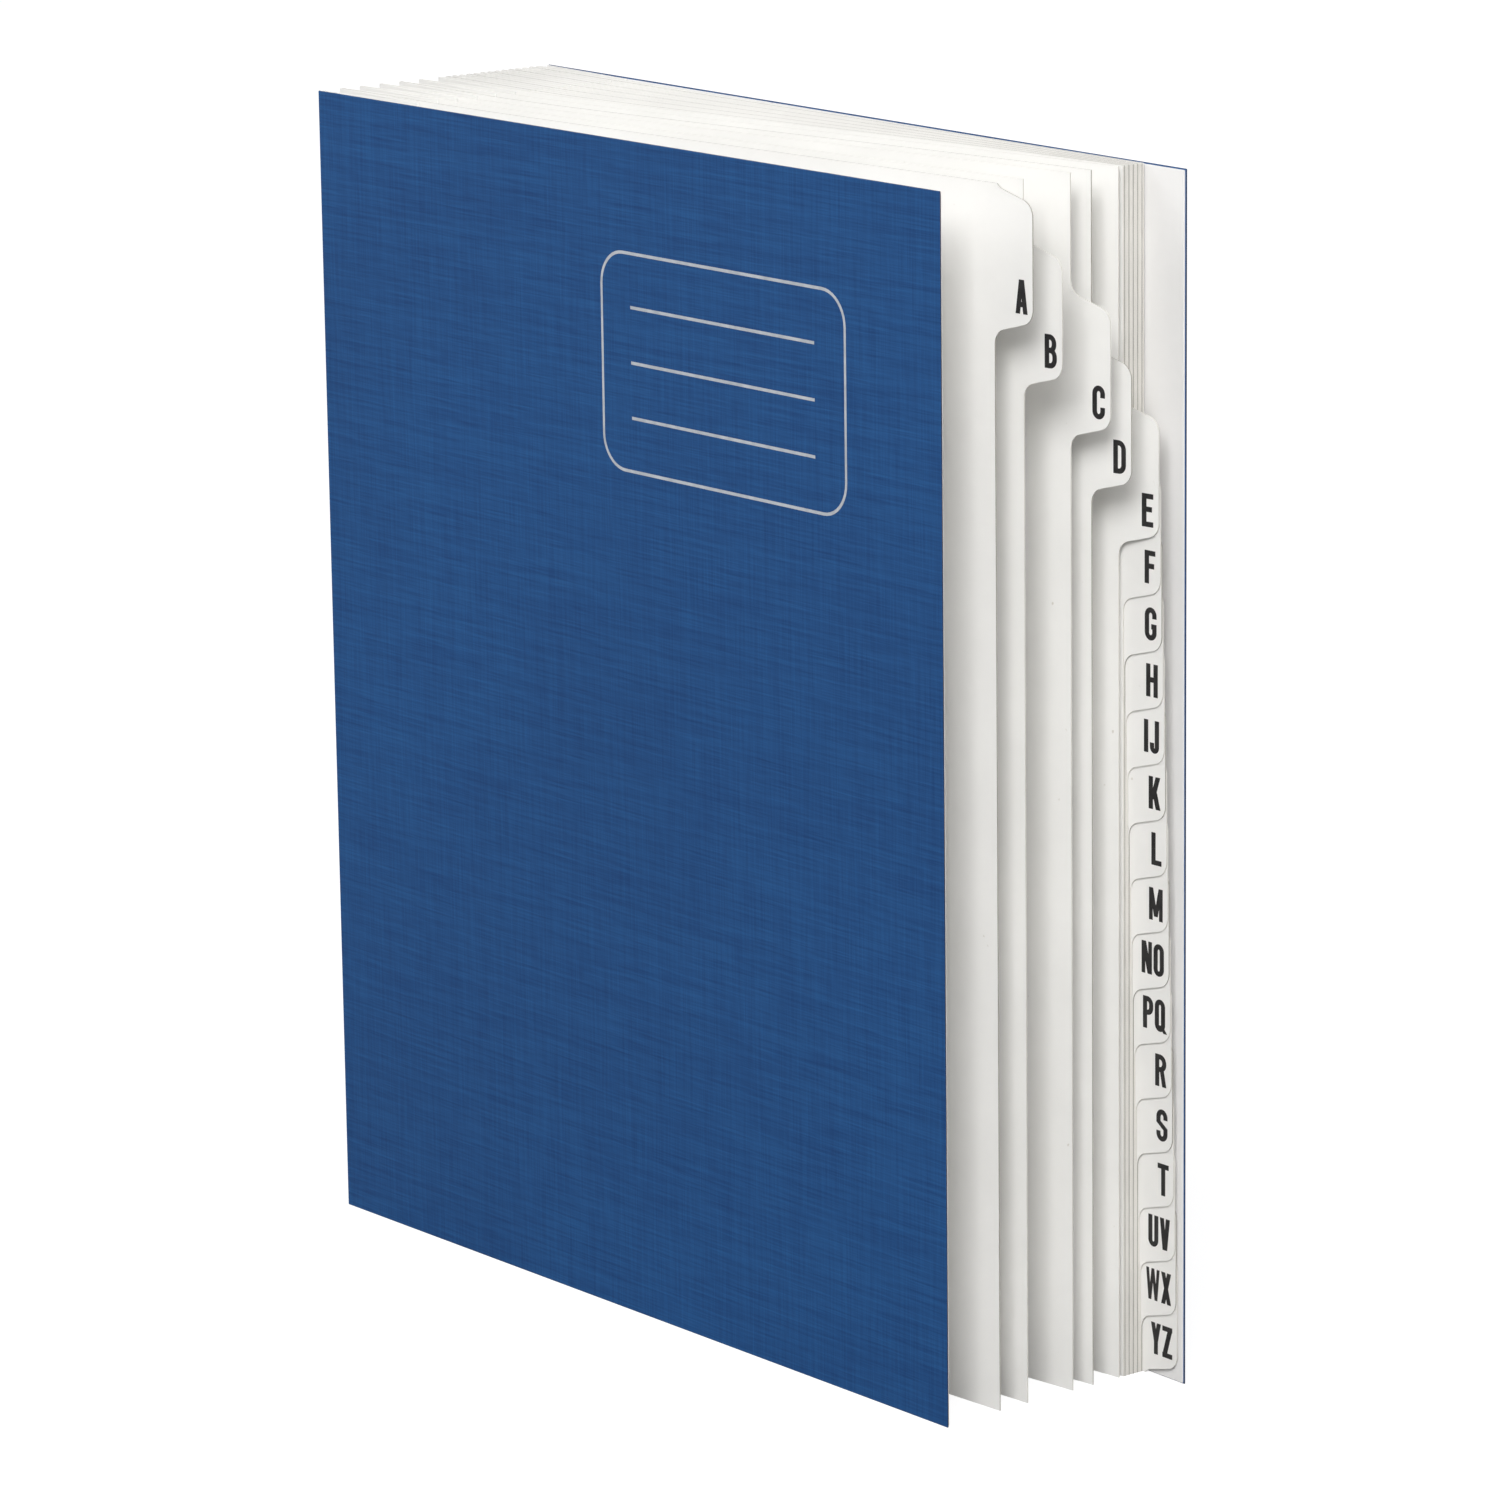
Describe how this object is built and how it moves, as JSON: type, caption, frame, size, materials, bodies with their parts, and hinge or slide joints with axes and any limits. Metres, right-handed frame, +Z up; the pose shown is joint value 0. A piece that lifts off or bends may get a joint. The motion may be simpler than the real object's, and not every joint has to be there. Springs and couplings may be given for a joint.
{
  "type": "alphabetical desk sorter",
  "caption": "Tall desk sorter: stepped, lettered index leaves on a concertina spine between two linen-embossed boards that open like a book's covers.",
  "frame": {"origin": "centre of the bounding box in plan, at the foot of the standing book", "axes": "+X from the spine to the fore edge, +Y from the front cover to the back cover, +Z up"},
  "size_m": [0.264, 0.0762, 0.3048],
  "materials": {
    "cover_board": "linen-embossed blue outside, pale grey inside",
    "leaf_card": "matt white card",
    "gusset_paper": "matt white paper"
  },
  "bodies": {
    "file_block": {"spine_gusset": "gusset_paper", "divider_a": "leaf_card", "divider_b": "leaf_card", "divider_c": "leaf_card", "divider_d": "leaf_card", "divider_e": "leaf_card", "divider_f": "leaf_card", "divider_g": "leaf_card", "divider_h": "leaf_card", "divider_ij": "leaf_card", "divider_k": "leaf_card", "divider_l": "leaf_card", "divider_m": "leaf_card", "divider_no": "leaf_card", "divider_pq": "leaf_card", "divider_r": "leaf_card", "divider_s": "leaf_card", "divider_t": "leaf_card", "divider_uv": "leaf_card", "divider_wx": "leaf_card", "divider_yz": "leaf_card"},
    "front_cover": {"front_cover": "cover_board"},
    "back_cover": {"back_cover": "cover_board"}
  },
  "joints": [
    {"name": "front_cover_hinge", "type": "hinge", "parent": "file_block", "child": "front_cover", "pos_m": [-0.13201, -0.03735, 0.1524], "axis": [0, 0, -1], "range_deg": [0, 180]},
    {"name": "back_cover_hinge", "type": "hinge", "parent": "file_block", "child": "back_cover", "pos_m": [-0.13201, 0.03735, 0.1524], "axis": [0, 0, 1], "range_deg": [0, 180]}
  ]
}
